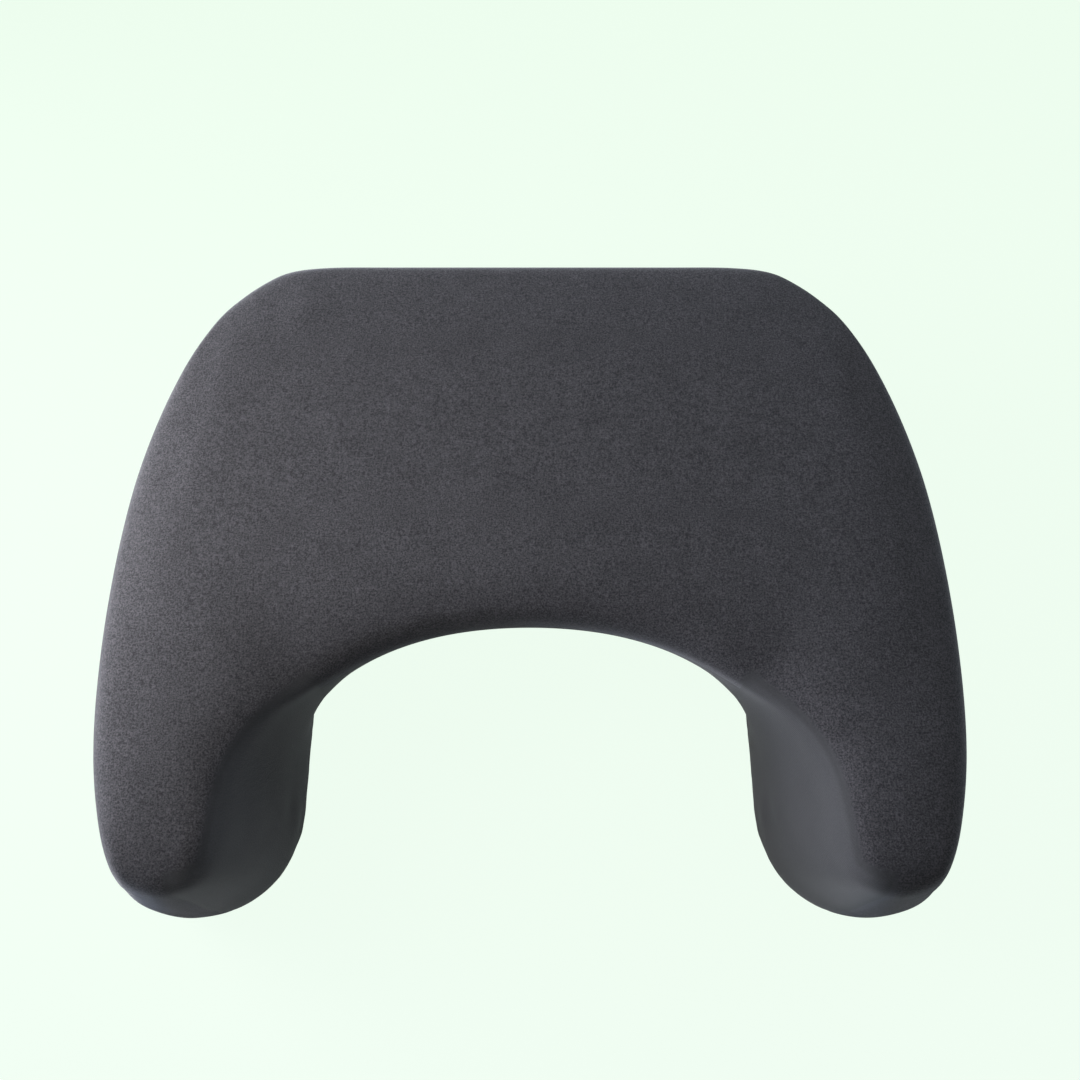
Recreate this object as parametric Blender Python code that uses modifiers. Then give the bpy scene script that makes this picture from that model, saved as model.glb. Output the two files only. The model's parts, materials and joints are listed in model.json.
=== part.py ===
"""Horseshoe lap desk pillow: moulded foam, knit liner, sewn cover and a side zip.

Metres, +Z up. The user sits at -Y, the two arms reach towards them and the deck is at +Y.
The origin is at the middle of the footprint, on the surface that the pillow stands on.
"""
import math

import bmesh
import bpy
from mathutils import Matrix, Vector

# Overall size of the pillow
WIDTH = 0.550
DEPTH = 0.441
HEIGHT = 0.160

# Deck and the tunnel over the thighs
DECK_DEPTH = 0.268
DECK_THICKNESS = 0.060
TUNNEL_WIDTH = 0.316
TUNNEL_ROUNDNESS = 3.4

# Inner edge of the top: from the middle of the deck's rim round to the straight part of each arm
BELLY_GAP = 0.378
CREASE_LENGTH = 0.138
CREASE_ROUNDNESS = 2.05

# Outer outline
WIDEST_FROM_REAR = 0.259
REAR_STRAIGHT = 0.326
REAR_ROUNDNESS = 2.10
REAR_CORNER_EASE = 0.010
TIP_CURVE_WIDTH = 0.066
TIP_ROUNDNESS = 2.7
TIP_CORNER_INSET = 0.031
TIP_CORNER_RISE = 0.010

# Softening of the edges
EDGE_ROUND = 0.032
EDGE_INSET = 0.004
CROWN_DROP = 0.006
PRESSED_FLAT = 0.001
JUNCTION_DROP = 0.010
JUNCTION_SPREAD = 0.010
BASE_TUCK = 0.008
NOSE_TUCK = 0.010
CREASE_END = 0.022
CREASE_FLARE = 0.003
BASE_END = 0.026
BASE_FLARE = 0.013

# Layers, from the outside in
COVER_CLOTH = 0.0015
LINER_CLOTH = 0.0008
LAYER_GAP = 0.0003
SEAM_GAP = 0.0003

# Zip in the rear seam: tapes and teeth
ZIP_LENGTH = 0.266
TAPE_WIDTH = 0.0095
TAPE_THICKNESS = 0.0006
TAPE_MARGIN = 0.0008
TAPE_END = 0.006
CHAIN_HALF_WIDTH = 0.0026
SPINE_WIDTH = 0.0012
TOOTH_PITCH = 0.0032
TOOTH_THICKNESS = 0.0022
TOOTH_REACH = 0.0009
TOOTH_GAP = 0.0003
TOOTH_LOCK = 0.0003
STOP_LENGTH = 0.0030
STOP_ROUND = 0.0003

# Opening in the cover over the zip, and the groove that it lies in
SLOT_HALF_WIDTH = 0.0062
SLOT_INSET = 0.002
GROOVE_DEPTH = 0.0045
GROOVE_SHOULDER = 0.0009

# Slider
SLIDER_LENGTH = 0.0120
SLIDER_WIDTH = 0.0104
SLIDER_TAIL_WIDTH = 0.0090
SLIDER_CORNER = 0.0019
SLIDER_PLATE = 0.0009
SLIDER_CLEARANCE = 0.00025
FLANGE_INSET = 0.0004
FLANGE_SETBACK = 0.0008
WEDGE_LENGTH = 0.0036
WEDGE_WIDTH = 0.0022
WEDGE_INSET = 0.0006
BRIDGE_LENGTH = 0.0090
BRIDGE_WIDTH = 0.0018
BRIDGE_HEIGHT = 0.0032
BRIDGE_STRAP = 0.0010

# Pull tab
PULL_LENGTH = 0.0260
PULL_WIDTH = 0.0064
PULL_THICKNESS = 0.0012
PULL_CORNER = 0.0018
PULL_SIDE_GAP = 0.0004
PULL_END_GAP = 0.0017

# Counts of the cage: columns across deck and leg, rows along deck and arm, levels up
DECK_COLUMNS = 3
LEG_COLUMNS = 3
DECK_ROWS = 3
ARM_ROWS = 4
LEVELS = 4
VAULT_LEVEL = 2
COLUMNS = DECK_COLUMNS + LEG_COLUMNS
ROWS = DECK_ROWS + ARM_ROWS

# Where the cage's rows, columns and levels cross the curves, as degrees or as shares from 0 to 1
REAR_ANGLES = (36, 52, 70, 88)
FRONT_ANGLES = (10, 24, 40)
REAR_EASE_SHARES = (1.0, 0.4, 0.0, 0.0)
VAULT_ANGLES = (0, 12, 30, 54)
WALL_ANGLE = 78
CREASE_SHARES = (0.0, 0.28, 0.53, 0.735, 0.84, 0.93, 0.985)
LEG_SHARES = (0.0, 0.30, 0.70, 1.0)
TIP_SHARES = (0.0, 0.36, 0.84, 1.0)
WALL_SHARES = (0.0, 0.10, 0.32, 0.72, 1.0)
LEVEL_SHARES = (0.0, 0.33, 0.68, 1.0)

REAR_Y = DEPTH / 2
FRONT_Y = -DEPTH / 2
RIM_Y = REAR_Y - DECK_DEPTH
WIDEST_Y = REAR_Y - WIDEST_FROM_REAR
TUNNEL_HEIGHT = HEIGHT - DECK_THICKNESS
ZIP_HALF_HEIGHT = CHAIN_HALF_WIDTH + LAYER_GAP + TAPE_WIDTH + TAPE_MARGIN
SEAM_Z = HEIGHT - CROWN_DROP - 2 * ZIP_HALF_HEIGHT
CHAIN_Y = REAR_Y - COVER_CLOTH - LAYER_GAP - TAPE_THICKNESS / 2
LINER_DEPTH = COVER_CLOTH + LAYER_GAP
CORE_DEPTH = LINER_DEPTH + LINER_CLOTH + LAYER_GAP

# Tolerances of the modelling: lying in a plane, being one point, a soft edge, a panel's sharpest corner
FLATNESS = 0.00005
SAME_POINT = 0.00001
SMOOTH_ANGLE = math.radians(40)
CORNER_LIMIT = 0.3

REGIONS = ("top", "side", "rear", "arm_inner", "tunnel", "foot")


def clear_scene():
    """Empties the scene and makes one collection for the parts and one for the cutters."""
    for found in list(bpy.data.objects):
        bpy.data.objects.remove(found)
    collections = []
    for name in ("lap_desk_pillow", "cutters"):
        collection = bpy.data.collections.new(name)
        bpy.context.scene.collection.children.link(collection)
        collections.append(collection)
    return collections


def make_material(name, colour, roughness, metallic=0.0):
    """A Principled material of one plain colour."""
    material = bpy.data.materials.new(name)
    material.use_nodes = True
    shader = material.node_tree.nodes["Principled BSDF"]
    shader.inputs["Base Color"].default_value = (*colour, 1.0)
    shader.inputs["Roughness"].default_value = roughness
    shader.inputs["Metallic"].default_value = metallic
    return material


def add_object(name, bm, collection, material=None, smooth=False):
    """Turns a bmesh into a named object of the collection."""
    bmesh.ops.recalc_face_normals(bm, faces=bm.faces)
    mesh = bpy.data.meshes.new(name)
    bm.to_mesh(mesh)
    bm.free()
    made = bpy.data.objects.new(name, mesh)
    collection.objects.link(made)
    if material:
        mesh.materials.clear()
        mesh.materials.append(material)
        for polygon in mesh.polygons:
            polygon.material_index = 0
    if smooth:
        mesh.shade_smooth()
        mesh.set_sharp_from_angle(angle=SMOOTH_ANGLE)
    return made


def rounded(half_x, half_y, power, angle):
    """Point on a quarter of a superellipse, from its Y axis at 0 degrees to its X axis at 90."""
    turn = math.radians(angle)
    return half_x * math.sin(turn) ** (2 / power), half_y * math.cos(turn) ** (2 / power)


def outline_point(row, share=1.0):
    """Outer outline in plan where a row of the cage meets it; a share below 1 lies nearer the middle."""
    if row <= DECK_ROWS:
        centre_x = REAR_STRAIGHT / 2
        x, y = rounded(WIDTH / 2 - centre_x, REAR_Y - WIDEST_Y, REAR_ROUNDNESS, REAR_ANGLES[row] * share)
        ease = REAR_CORNER_EASE * share * REAR_EASE_SHARES[row]
        return Vector((centre_x + x, WIDEST_Y + y, 0)) - Vector((x, y, 0)).normalized() * ease
    if row == ROWS:
        return Vector((WIDTH / 2 - TIP_CORNER_INSET, FRONT_Y + TIP_CORNER_RISE, 0))
    angle = FRONT_ANGLES[row - DECK_ROWS - 1]
    y, x = rounded(WIDEST_Y - FRONT_Y, TIP_CURVE_WIDTH, TIP_ROUNDNESS, angle)
    return Vector((WIDTH / 2 - TIP_CURVE_WIDTH + x, WIDEST_Y - y, 0))


def crease_point(share):
    """Inner edge of the top in plan: 0 at the middle of the deck's rim, 1 where an arm runs straight."""
    y = CREASE_LENGTH * (1 - share ** CREASE_ROUNDNESS) ** (1 / CREASE_ROUNDNESS)
    return Vector((BELLY_GAP / 2 * share, RIM_Y - CREASE_LENGTH + y, 0))


def deck_plan(column, row):
    """Plan point of a cage node on the deck's top, out to the line between deck and leg."""
    share = column / DECK_COLUMNS
    if row <= 1:
        return Vector((REAR_STRAIGHT / 2 * share, REAR_Y - EDGE_ROUND * row, 0))
    rim = crease_point(CREASE_SHARES[column])
    if row < DECK_ROWS:
        return rim + Vector((JUNCTION_SPREAD * share, EDGE_ROUND, 0))
    return rim


def inner_top_point(row):
    """Plan point of the leg's inner edge on the top, which is the crease along the arm."""
    if row <= DECK_ROWS:
        return deck_plan(DECK_COLUMNS, row)
    if row < ROWS:
        return crease_point(CREASE_SHARES[row])
    return Vector((BELLY_GAP / 2 + CREASE_FLARE, FRONT_Y + CREASE_END, 0))


def inner_base_point(row):
    """Plan point of the leg's inner edge on the base: the foot of the tunnel wall and of the arm's wall."""
    if row == ROWS:
        return Vector((TUNNEL_WIDTH / 2 + BASE_FLARE, FRONT_Y + BASE_END, 0))
    tuck = BASE_TUCK / 2 if row == 0 else 0
    return Vector((TUNNEL_WIDTH / 2, inner_top_point(row).y - tuck, 0))


def top_plan(column, row):
    """Plan point of a cage node on the top."""
    if column <= DECK_COLUMNS:
        return deck_plan(column, row) if row <= DECK_ROWS else inner_top_point(row)
    share = (TIP_SHARES if row == ROWS else LEG_SHARES)[column - DECK_COLUMNS]
    if row == 0:
        return outline_point(row, share)
    point = inner_top_point(row).lerp(outline_point(row), share)
    if row == ROWS and column < COLUMNS:
        point.y = FRONT_Y
    return point


def base_plan(column, row):
    """Plan point of a cage node on the base, drawn in a little under the wall above it."""
    inner = inner_base_point(row)
    above = top_plan(column, row)
    if column == COLUMNS:
        return above + (inner - above).normalized() * BASE_TUCK
    if row == 0:
        return above - Vector((0, BASE_TUCK / 2, 0))
    share = (TIP_SHARES if row == ROWS else LEG_SHARES)[column - DECK_COLUMNS]
    point = inner.lerp(base_plan(COLUMNS, row), share)
    if row == ROWS:
        point.y = FRONT_Y + BASE_TUCK / 2
    return point


def top_point(column, row):
    """Place of a cage node on the top: level over the middle, lower and drawn in along the edges."""
    point = top_plan(column, row)
    outer = column == COLUMNS or row == ROWS
    rim = row == DECK_ROWS and column <= DECK_COLUMNS or row > DECK_ROWS and column == DECK_COLUMNS
    if outer:
        middle = inner_top_point(row).lerp(outline_point(row), 0.5)
        point += (middle - point).normalized() * EDGE_INSET
    point.z = HEIGHT - (CROWN_DROP if outer or rim or row == 0 else 0)
    if rim:
        away = abs(row - DECK_ROWS) + abs(column - DECK_COLUMNS)
        point.z -= JUNCTION_DROP / 2 ** away if away < 3 else 0
    return point


def cage_point(column, row, level):
    """Place of one node of the cage, on the right half of the pillow."""
    if level == LEVELS:
        return top_point(column, row)
    height = SEAM_Z * LEVEL_SHARES[level]
    on_deck = column < DECK_COLUMNS or column == DECK_COLUMNS and row <= DECK_ROWS
    if on_deck and level == LEVELS - 1:
        return top_plan(column, row) + Vector((0, 0, height))
    if on_deck and level == 0:
        return inner_base_point(row)
    if on_deck:
        angle = VAULT_ANGLES[column] if level == VAULT_LEVEL else WALL_ANGLE
        x, z = rounded(TUNNEL_WIDTH / 2, TUNNEL_HEIGHT, TUNNEL_ROUNDNESS, angle)
        tuck = NOSE_TUCK if row == DECK_ROWS and level == VAULT_LEVEL else 0
        return Vector((x, top_plan(column, row).y + tuck, z))
    if column == DECK_COLUMNS:
        point = inner_base_point(row).lerp(top_plan(column, row), WALL_SHARES[level])
    elif level == 0:
        point = base_plan(column, row)
    else:
        point = top_plan(column, row)
    point.z = height
    return point


def is_solid(column, row, level):
    """Whether a cell of the cage is foam: the legs all the way up, the deck above the tunnel."""
    inside = 0 <= column < COLUMNS and 0 <= row < ROWS and 0 <= level < LEVELS
    return inside and (column >= DECK_COLUMNS or row < DECK_ROWS and level >= VAULT_LEVEL)


def region_of(cell, facing):
    """Which cover panel a face of the cage belongs to."""
    column, row, level = cell
    axis, sign = facing
    if axis == 2:
        return "top" if sign > 0 else ("foot" if level == 0 else "tunnel")
    if axis == 0 and sign < 0:
        return "tunnel" if row < DECK_ROWS else "arm_inner"
    if axis == 1 and sign > 0 and row == DECK_ROWS - 1:
        return "top" if level == LEVELS - 1 else "tunnel"
    if axis == 1 and sign > 0 and column == DECK_COLUMNS:
        return "arm_inner"
    if level == LEVELS - 1:
        return "top"
    return "rear" if axis == 1 and sign < 0 else "side"


def skin_mesh(cutters):
    """The pillow's outer skin as one closed mesh of triangles, each with its panel's index."""
    bm = bmesh.new()
    nodes = {}

    def node(column, row, level):
        key = (column, row, level)
        if key not in nodes:
            nodes[key] = bm.verts.new(cage_point(*key))
        return nodes[key]

    cells = [(c, r, k) for c in range(COLUMNS) for r in range(ROWS) for k in range(LEVELS)]
    for cell in filter(lambda each: is_solid(*each), cells):
        for axis in range(3):
            for sign in (-1, 1):
                beside = list(cell)
                beside[axis] += sign
                on_mirror = axis == 0 and beside[0] < 0
                if is_solid(*beside) or on_mirror:
                    continue
                first, second = [other for other in range(3) if other != axis]
                corners = []
                for a, b in ((0, 0), (1, 0), (1, 1), (0, 1)):
                    corner = list(cell)
                    corner[axis] += sign > 0
                    corner[first] += a
                    corner[second] += b
                    corners.append(node(*corner))
                face = bm.faces.new(corners)
                face.material_index = REGIONS.index(region_of(cell, (axis, sign)))
    cage = add_object("pillow_cage", bm, cutters)
    for _ in REGIONS:
        cage.data.materials.append(None)
    mirror = cage.modifiers.new("other half", "MIRROR")
    mirror.use_clip = True
    mirror.merge_threshold = SAME_POINT
    soften = cage.modifiers.new("soften", "SUBSURF")
    soften.levels = 1
    soften.render_levels = 1
    soften.use_limit_surface = False
    cage.display_type = "WIRE"
    cage.hide_render = True
    depsgraph = bpy.context.evaluated_depsgraph_get()
    skin = bmesh.new()
    skin.from_mesh(cage.evaluated_get(depsgraph).to_mesh())
    bmesh.ops.remove_doubles(skin, verts=skin.verts, dist=SAME_POINT)
    bmesh.ops.recalc_face_normals(skin, faces=skin.faces)
    split_faces(skin)
    true_up(skin)
    skin.normal_update()
    return skin


def split_faces(skin):
    """Cuts every four-sided face from the cage corner that it touches to the middle of its cage face."""
    start = next(vert for vert in skin.verts if len(vert.link_edges) != 4)
    hubs = {start}
    wave = [start]
    while wave:
        reached = {edge.other_vert(vert) for vert in wave for edge in vert.link_edges}
        beyond = {edge.other_vert(vert) for vert in reached for edge in vert.link_edges}
        wave = sorted(beyond - hubs, key=lambda each: each.index)
        hubs |= beyond
    for face in list(skin.faces):
        ends = [vert for vert in face.verts if vert in hubs]
        bmesh.utils.face_split(face, *ends)


def true_up(skin):
    """Lays the rear seam level where the zip is sewn in, and the middle of the top flat for what it carries."""
    sewn = {REGIONS.index("top"), REGIONS.index("rear")}
    for vert in skin.verts:
        if abs(vert.co.y - REAR_Y) < FLATNESS and {face.material_index for face in vert.link_faces} == sewn:
            vert.co.z = SEAM_Z
        elif vert.co.z > HEIGHT - PRESSED_FLAT:
            vert.co.z = HEIGHT


def groove(point):
    """How much deeper the liner and the foam lie behind the zip, where its slider runs."""
    if abs(point.x) > REAR_STRAIGHT / 2 or abs(point.y - REAR_Y) > FLATNESS:
        return 0.0
    if abs(point.z - SEAM_Z) < FLATNESS:
        return GROOVE_DEPTH
    return GROOVE_SHOULDER


def layer_point(vert, depth, grooved):
    """A point of the skin moved straight inwards to a layer's depth."""
    if depth and grooved:
        depth = depth + groove(vert.co)
    return vert.co - vert.normal * depth * vert.calc_shell_factor()


def seam_shift(face_set, vert):
    """Pulls a panel's border vertex back from the seam by half of the seam's gap."""
    pulls = []
    for edge in vert.link_edges:
        inside = [face for face in edge.link_faces if face in face_set]
        if len(inside) != 1:
            continue
        along = (edge.verts[1].co - edge.verts[0].co).normalized()
        inward = inside[0].calc_center_median() - edge.verts[0].co
        inward -= along * inward.dot(along)
        pulls.append(inward.normalized())
    if not pulls:
        return Vector()
    if len(pulls) == 1:
        return pulls[0] * SEAM_GAP / 2
    total = pulls[0] + pulls[1]
    return total * (SEAM_GAP / 2) / max(1 + pulls[0].dot(pulls[1]), CORNER_LIMIT)


def make_panel(name, skin, keep, depth, cloth, collection, material, grooved=False):
    """A sewn panel: the faces that keep() picks, at a depth under the skin, with the cloth's thickness."""
    faces = {face for face in skin.faces if keep(face)}
    bm = bmesh.new()
    outer, inner = {}, {}
    for vert in {vert for face in faces for vert in face.verts}:
        shift = seam_shift(faces, vert)
        outer[vert] = layer_point(vert, depth, grooved) + shift
        inner[vert] = layer_point(vert, depth + cloth, grooved) + shift
    verts = {vert: bm.verts.new(outer[vert]) for vert in sorted(outer, key=lambda each: each.index)}
    sheet = [bm.faces.new([verts[v] for v in face.verts]) for face in sorted(faces, key=lambda each: each.index)]
    grown = bmesh.ops.extrude_face_region(bm, geom=sheet, use_keep_orig=True)
    places = {verts[vert].co.to_tuple(8): inner[vert] for vert in verts}
    for made in grown["geom"]:
        if isinstance(made, bmesh.types.BMVert):
            made.co = places[made.co.to_tuple(8)]
    return add_object(name, bm, collection, material, smooth=True)


def make_core(skin, collection, material):
    """The moulded foam body, one layer under the liner."""
    bm = skin.copy()
    places = [layer_point(vert, CORE_DEPTH, True) for vert in bm.verts]
    for vert, place in zip(bm.verts, places):
        vert.co = place
    return add_object("foam_core", bm, collection, material, smooth=True)


def make_box(name, low, high, collection, material=None, bevel=0.0):
    """A block between two corners, with its edges rounded where a radius is given."""
    bm = bmesh.new()
    bmesh.ops.create_cube(bm, size=1)
    low, high = Vector(low), Vector(high)
    for vert in bm.verts:
        vert.co = Vector([a + (b - a) * (c + 0.5) for a, b, c in zip(low, high, vert.co)])
    made = add_object(name, bm, collection, material)
    if bevel:
        edge = made.modifiers.new("rounded edges", "BEVEL")
        edge.width = bevel
        edge.segments = 1
    return made


def make_prism(name, outline, low, high, axis, collection, material=None):
    """A flat outline given as pairs, pulled out from low to high along the axis."""
    bm = bmesh.new()
    order = {"Y": (0, 2, 1), "Z": (0, 1, 2)}[axis]
    ring = []
    for a, b in outline:
        values = (a, b, low)
        ring.append(bm.verts.new([values[order.index(k)] for k in range(3)]))
    face = bm.faces.new(ring)
    pulled = bmesh.ops.extrude_face_region(bm, geom=[face], use_keep_orig=True)
    step = Vector([high - low if k == "XYZ".index(axis) else 0 for k in range(3)])
    bmesh.ops.translate(bm, vec=step, verts=[g for g in pulled["geom"] if isinstance(g, bmesh.types.BMVert)])
    return add_object(name, bm, collection, material)


def put_origin(made, point, parent=None):
    """Puts a moving piece's origin on its joint's axis and leaves the piece where it is."""
    made.data.transform(Matrix.Translation(-point))
    made.location = point - parent.location if parent else point
    made.parent = parent


def boolean(target, tool, operation):
    """Joins or cuts the target with a tool that stays hidden among the cutters."""
    step = target.modifiers.new(tool.name, "BOOLEAN")
    step.operation = operation
    step.solver = "EXACT"
    step.object = tool
    tool.display_type = "WIRE"
    tool.hide_render = True


def make_teeth(name, side, chain_start, chain_end, collection, material):
    """One row of teeth on its spine: a comb whose teeth widen at the tip and lock into the other row."""
    back = side * CHAIN_HALF_WIDTH
    front = side * (CHAIN_HALF_WIDTH - SPINE_WIDTH)
    tip = -side * TOOTH_REACH
    head = TOOTH_PITCH / 4 - TOOTH_GAP / 2
    neck = head - TOOTH_LOCK / 2
    first = chain_start + TOOTH_PITCH * (1.0 if side > 0 else 0.5)
    count = int((chain_end - chain_start) / TOOTH_PITCH - 1)
    outline = [(chain_start, SEAM_Z + back), (chain_start, SEAM_Z + front)]
    for index in range(count):
        middle = first + index * TOOTH_PITCH
        for x, z in ((-neck, front), (-head, tip), (head, tip), (neck, front)):
            outline.append((middle + x, SEAM_Z + z))
    outline += [(chain_end, SEAM_Z + front), (chain_end, SEAM_Z + back)]
    low = CHAIN_Y - TOOTH_THICKNESS / 2
    return make_prism(name, outline, low, low + TOOTH_THICKNESS, "Y", collection, material)


def slider_plate_outline(centre_x):
    """Outline of the slider's two plates, wider at the mouth and narrower at the tail."""
    mouth = centre_x + SLIDER_LENGTH / 2
    tail = centre_x - SLIDER_LENGTH / 2
    half = SLIDER_WIDTH / 2
    waist = SLIDER_TAIL_WIDTH / 2
    edge = [
        (tail, waist - SLIDER_CORNER / 2), (tail + SLIDER_CORNER / 2, waist), (centre_x + SLIDER_CORNER, half),
        (mouth - SLIDER_CORNER, half), (mouth, half - SLIDER_CORNER),
    ]
    return edge + [(x, -z) for x, z in reversed(edge)]


def slider_bridge_outline(centre_x, base):
    """Outline of the low arch on the slider's front that holds the pull."""
    half = BRIDGE_LENGTH / 2
    foot = base - SLIDER_PLATE / 2
    crown = base + BRIDGE_HEIGHT
    strap = BRIDGE_STRAP
    outer = [(half, foot), (half, crown - strap), (half - strap, crown)]
    inner = [(half - strap, crown - strap), (half - strap, foot)]
    left = [(-x, y) for x, y in outer]
    inner_left = [(-x, y) for x, y in inner]
    loop = left + outer[::-1] + inner[::-1] + inner_left
    return [(centre_x + x, y) for x, y in loop]


def make_slider(centre_x, collection, cutters, material):
    """Slider: two plates with guiding flanges, joined by a wedge at the mouth, and a bridge for the pull."""
    inner = TOOTH_THICKNESS / 2 + SLIDER_CLEARANCE
    outer = inner + SLIDER_PLATE
    reach = inner + SLIDER_PLATE / 2
    plate = [(x, SEAM_Z + z) for x, z in slider_plate_outline(centre_x)]
    slider = make_prism("zip_slider", plate, CHAIN_Y + inner, CHAIN_Y + outer, "Y", collection, material)
    under = make_prism("slider_back_plate", plate, CHAIN_Y - outer, CHAIN_Y - inner, "Y", cutters)
    nose = centre_x + SLIDER_LENGTH / 2 - WEDGE_INSET
    middle = nose - WEDGE_LENGTH / 2
    wedge = [(nose - WEDGE_LENGTH, 0), (middle, -WEDGE_WIDTH / 2), (nose, 0), (middle, WEDGE_WIDTH / 2)]
    wedge = [(x, SEAM_Z + z) for x, z in wedge]
    post = make_prism("slider_wedge", wedge, CHAIN_Y - reach, CHAIN_Y + reach, "Y", cutters)
    boolean(slider, post, "UNION")
    boolean(slider, under, "UNION")
    slot = TAPE_THICKNESS / 2 + SLIDER_CLEARANCE
    channel = CHAIN_HALF_WIDTH + SLIDER_CLEARANCE
    wall = SLIDER_TAIL_WIDTH / 2 - FLANGE_INSET
    start = centre_x - SLIDER_LENGTH / 2 + FLANGE_SETBACK
    end = centre_x + SLIDER_LENGTH / 2 - SLIDER_CORNER
    for side in (-1, 1):
        for face in (-1, 1):
            across = sorted((SEAM_Z + side * channel, SEAM_Z + side * wall))
            through = sorted((CHAIN_Y + face * slot, CHAIN_Y + face * reach))
            name = f"slider_flange_{'lower' if side < 0 else 'upper'}_{'back' if face < 0 else 'front'}"
            flange = make_box(name, (start, through[0], across[0]), (end, through[1], across[1]), cutters)
            boolean(slider, flange, "UNION")
    bridge = slider_bridge_outline(centre_x, CHAIN_Y + outer)
    half = BRIDGE_WIDTH / 2
    arch = make_prism("slider_bridge", bridge, SEAM_Z - half, SEAM_Z + half, "Z", cutters)
    boolean(slider, arch, "UNION")
    return slider


def pull_axis_y():
    """Depth of the pull's hinge axis: midway between the slider's front plate and the bridge's strap."""
    plate = CHAIN_Y + TOOTH_THICKNESS / 2 + SLIDER_CLEARANCE + SLIDER_PLATE
    return plate + (BRIDGE_HEIGHT - BRIDGE_STRAP) / 2


def make_pull(centre_x, collection, cutters, material):
    """Stamped pull tab: its end bar passes under the slider's bridge, and it lies back over the chain."""
    bar = PULL_THICKNESS / 2
    root = centre_x + bar
    end = root - PULL_LENGTH
    half = PULL_WIDTH / 2
    edge = [(root, half), (end + PULL_CORNER, half), (end, half - PULL_CORNER)]
    outline = [(x, SEAM_Z + z) for x, z in edge + [(x, -z) for x, z in reversed(edge)]]
    low = pull_axis_y() - bar
    pull = make_prism("zip_pull", outline, low, low + PULL_THICKNESS, "Y", collection, material)
    window_half = BRIDGE_WIDTH / 2 + PULL_SIDE_GAP
    window = make_box(
        "pull_window",
        (centre_x - BRIDGE_LENGTH / 2 - PULL_END_GAP, low - PULL_THICKNESS, SEAM_Z - window_half),
        (centre_x - bar, low + 2 * PULL_THICKNESS, SEAM_Z + window_half),
        cutters,
    )
    boolean(pull, window, "DIFFERENCE")
    return pull


def make_zip(collection, cutters, tape_material, tooth_material, metal_material):
    """The zip in the rear seam, closed: tapes, teeth, stops, slider and pull."""
    half = ZIP_LENGTH / 2
    end = half - TAPE_END
    tape_low = CHAIN_Y - TAPE_THICKNESS / 2
    edge = CHAIN_HALF_WIDTH + LAYER_GAP
    slider_x = end - STOP_LENGTH - LAYER_GAP - SLIDER_LENGTH / 2
    wedge_tail = slider_x + SLIDER_LENGTH / 2 - WEDGE_INSET - WEDGE_LENGTH
    chain_end = wedge_tail - 2 * LAYER_GAP
    chain_start = -end + STOP_LENGTH + LAYER_GAP
    depth = TOOTH_THICKNESS / 2
    for label, side in (("upper", 1), ("lower", -1)):
        tape = sorted((SEAM_Z + side * edge, SEAM_Z + side * (edge + TAPE_WIDTH)))
        make_box(f"zip_tape_{label}", (-half, tape_low, tape[0]),
                 (half, tape_low + TAPE_THICKNESS, tape[1]), collection, tape_material)
        make_teeth(f"zip_teeth_{label}", side, chain_start, chain_end, collection, tooth_material)
        stop = sorted((SEAM_Z + side * LAYER_GAP, SEAM_Z + side * CHAIN_HALF_WIDTH))
        make_box(f"zip_top_stop_{label}", (end - STOP_LENGTH, CHAIN_Y - depth, stop[0]),
                 (end, CHAIN_Y + depth, stop[1]), collection, metal_material, bevel=STOP_ROUND)
    make_box("zip_bottom_stop", (-end, CHAIN_Y - depth, SEAM_Z - CHAIN_HALF_WIDTH),
             (-end + STOP_LENGTH, CHAIN_Y + depth, SEAM_Z + CHAIN_HALF_WIDTH),
             collection, metal_material, bevel=STOP_ROUND)
    slider = make_slider(slider_x, collection, cutters, metal_material)
    pull = make_pull(slider_x, collection, cutters, metal_material)
    put_origin(slider, Vector((slider_x, CHAIN_Y, SEAM_Z)))
    put_origin(pull, Vector((slider_x, pull_axis_y(), SEAM_Z)), slider)


def make_cover(skin, collection, cutters, cloth, smooth_cloth):
    """The sewn cover: every panel is its own piece of cloth, and two of them give way to the zip."""
    def picker(region, side=0):
        index = REGIONS.index(region)

        def keep(face):
            return face.material_index == index and face.calc_center_median().x * side >= 0
        return keep

    top = make_panel("cover_top", skin, picker("top"), 0, COVER_CLOTH, collection, cloth)
    rear = make_panel("cover_rear", skin, picker("rear"), 0, COVER_CLOTH, collection, cloth)
    make_panel("cover_tunnel", skin, picker("tunnel"), 0, COVER_CLOTH, collection, smooth_cloth)
    for label, side in (("left", -1), ("right", 1)):
        for name, region, material in (
            ("cover_side", "side", cloth),
            ("cover_arm_inner", "arm_inner", smooth_cloth),
            ("cover_foot", "foot", smooth_cloth),
        ):
            make_panel(f"{name}_{label}", skin, picker(region, side), 0, COVER_CLOTH, collection, material)
    zip_half = ZIP_LENGTH / 2 - SLOT_INSET
    slot = make_box(
        "zip_slot",
        (-zip_half, REAR_Y - 2 * COVER_CLOTH, SEAM_Z - SLOT_HALF_WIDTH),
        (zip_half, REAR_Y + COVER_CLOTH, SEAM_Z + SLOT_HALF_WIDTH),
        cutters,
    )
    for panel in (top, rear):
        boolean(panel, slot, "DIFFERENCE")


def make_liner(skin, collection, knit):
    """The knit liner in three cut pieces: over the top, round the outside and base, and inside the arch."""
    cuts = {
        "liner_top": ("top",),
        "liner_outer": ("side", "rear", "foot"),
        "liner_inner": ("arm_inner", "tunnel"),
    }
    for name, regions in cuts.items():
        indices = {REGIONS.index(region) for region in regions}

        def keep(face, indices=indices):
            return face.material_index in indices
        make_panel(name, skin, keep, LINER_DEPTH, LINER_CLOTH, collection, knit, grooved=True)


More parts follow.
